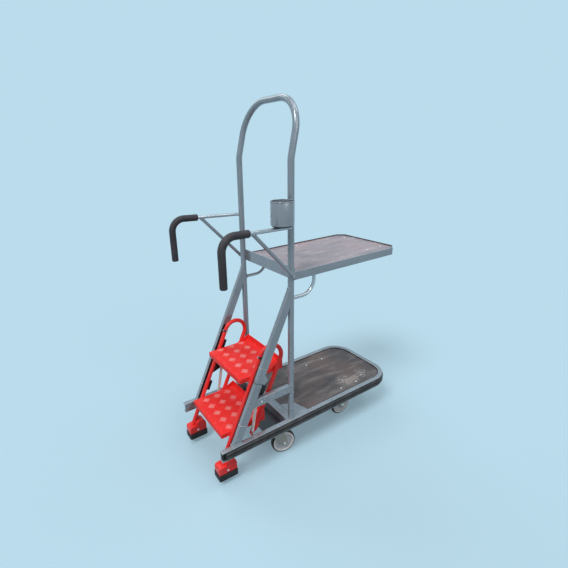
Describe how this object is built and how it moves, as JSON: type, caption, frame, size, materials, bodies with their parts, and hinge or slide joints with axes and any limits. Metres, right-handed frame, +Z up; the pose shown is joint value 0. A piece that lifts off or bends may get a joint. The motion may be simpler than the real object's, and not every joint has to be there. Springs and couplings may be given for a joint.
{
  "type": "step trolley",
  "caption": "Stock trolley with a deck, a raised shelf, a tall hoop with handles and a cup, and a sprung pair of treads at its rear, on swivel and fixed castors.",
  "frame": {"origin": "on the floor midway along the trolley, on its centre plane", "axes": "+X towards the platform's rounded front, +Y to its left, +Z up; the step is at the -X end, at the operator's hand"},
  "size_m": [1.113, 0.5137, 1.655],
  "materials": {
    "grey_coat": "slate-grey powder coat, semi-gloss",
    "red_coat": "bright red powder coat",
    "deck_ply": "film-faced plywood, brown, scuffed and dusty",
    "shelf_ply": "film-faced plywood, smooth",
    "black_rubber": "matt black rubber",
    "black_foam": "matt black closed-cell foam",
    "black_plastic": "matt black plastic",
    "white_spring": "bright zinc-plated spring wire",
    "castor_zinc": "yellow-grey zinc plate",
    "axle_steel": "zinc-plated steel",
    "wheel_grey": "pale grey moulded plastic",
    "tyre_black": "dark grey rubber"
  },
  "bodies": {
    "frame": {"base_rail": "grey_coat", "bumper_strip": "black_rubber", "deck_panel": "deck_ply", "rear_plate": "grey_coat", "cross_bar": "grey_coat", "front_bearer": "grey_coat", "gussets": "grey_coat", "uprights_hoop": "grey_coat", "handle_left": "grey_coat", "handle_right": "grey_coat", "grip_left": "black_foam", "grip_right": "black_foam", "handle_braces": "grey_coat", "cup": "grey_coat", "shelf_frame": "grey_coat", "shelf_panel": "shelf_ply", "shelf_brackets": "grey_coat", "strut_left": "grey_coat", "strut_right": "grey_coat", "ties": "grey_coat", "guides": "black_plastic", "spring_brackets": "black_plastic", "springs": "white_spring", "castor_plates": "castor_zinc", "fork_front": "castor_zinc", "axle_front": "axle_steel"},
    "step_unit": {"step_side_left": "red_coat", "step_side_right": "red_coat", "tread_lower": "red_coat", "tread_upper": "red_coat", "collars": "black_plastic", "pads": "black_rubber", "shoes": "red_coat"},
    "swivel_rear_left": {"fork_rear_left": "castor_zinc", "axle_rear_left": "axle_steel"},
    "swivel_rear_right": {"fork_rear_right": "castor_zinc", "axle_rear_right": "axle_steel"},
    "wheel_rear_left": {"wheel_rear_left": "wheel_grey", "tyre_rear_left": "tyre_black"},
    "wheel_rear_right": {"wheel_rear_right": "wheel_grey", "tyre_rear_right": "tyre_black"},
    "wheel_front_left": {"wheel_front_left": "wheel_grey", "tyre_front_left": "tyre_black"},
    "wheel_front_right": {"wheel_front_right": "wheel_grey", "tyre_front_right": "tyre_black"}
  },
  "joints": [
    {"name": "step_slide", "type": "slide", "parent": "frame", "child": "step_unit", "axis": [-0.4258, 0, -0.9048], "range_m": [0, 0.0282], "stiffness_N_per_m": 2500, "springref_m": -0.05, "deforming": ["springs"]},
    {"name": "rear_left_swivel", "type": "hinge", "parent": "frame", "child": "swivel_rear_left", "pos_m": [-0.2195, 0.159, 0.14], "axis": [0, 0, 1], "continuous": true},
    {"name": "rear_right_swivel", "type": "hinge", "parent": "frame", "child": "swivel_rear_right", "pos_m": [-0.2195, -0.159, 0.14], "axis": [0, 0, 1], "continuous": true},
    {"name": "rear_left_spin", "type": "hinge", "parent": "swivel_rear_left", "child": "wheel_rear_left", "pos_m": [-0.18527, 0.15172, 0.0625], "axis": [0.2079, 0.9781, 0], "continuous": true},
    {"name": "rear_right_spin", "type": "hinge", "parent": "swivel_rear_right", "child": "wheel_rear_right", "pos_m": [-0.18527, -0.16628, 0.0625], "axis": [0.2079, 0.9781, 0], "continuous": true},
    {"name": "front_left_spin", "type": "hinge", "parent": "frame", "child": "wheel_front_left", "pos_m": [0.2575, 0.114, 0.0625], "axis": [0, 1, 0], "continuous": true},
    {"name": "front_right_spin", "type": "hinge", "parent": "frame", "child": "wheel_front_right", "pos_m": [0.2575, -0.114, 0.0625], "axis": [0, 1, 0], "continuous": true}
  ]
}
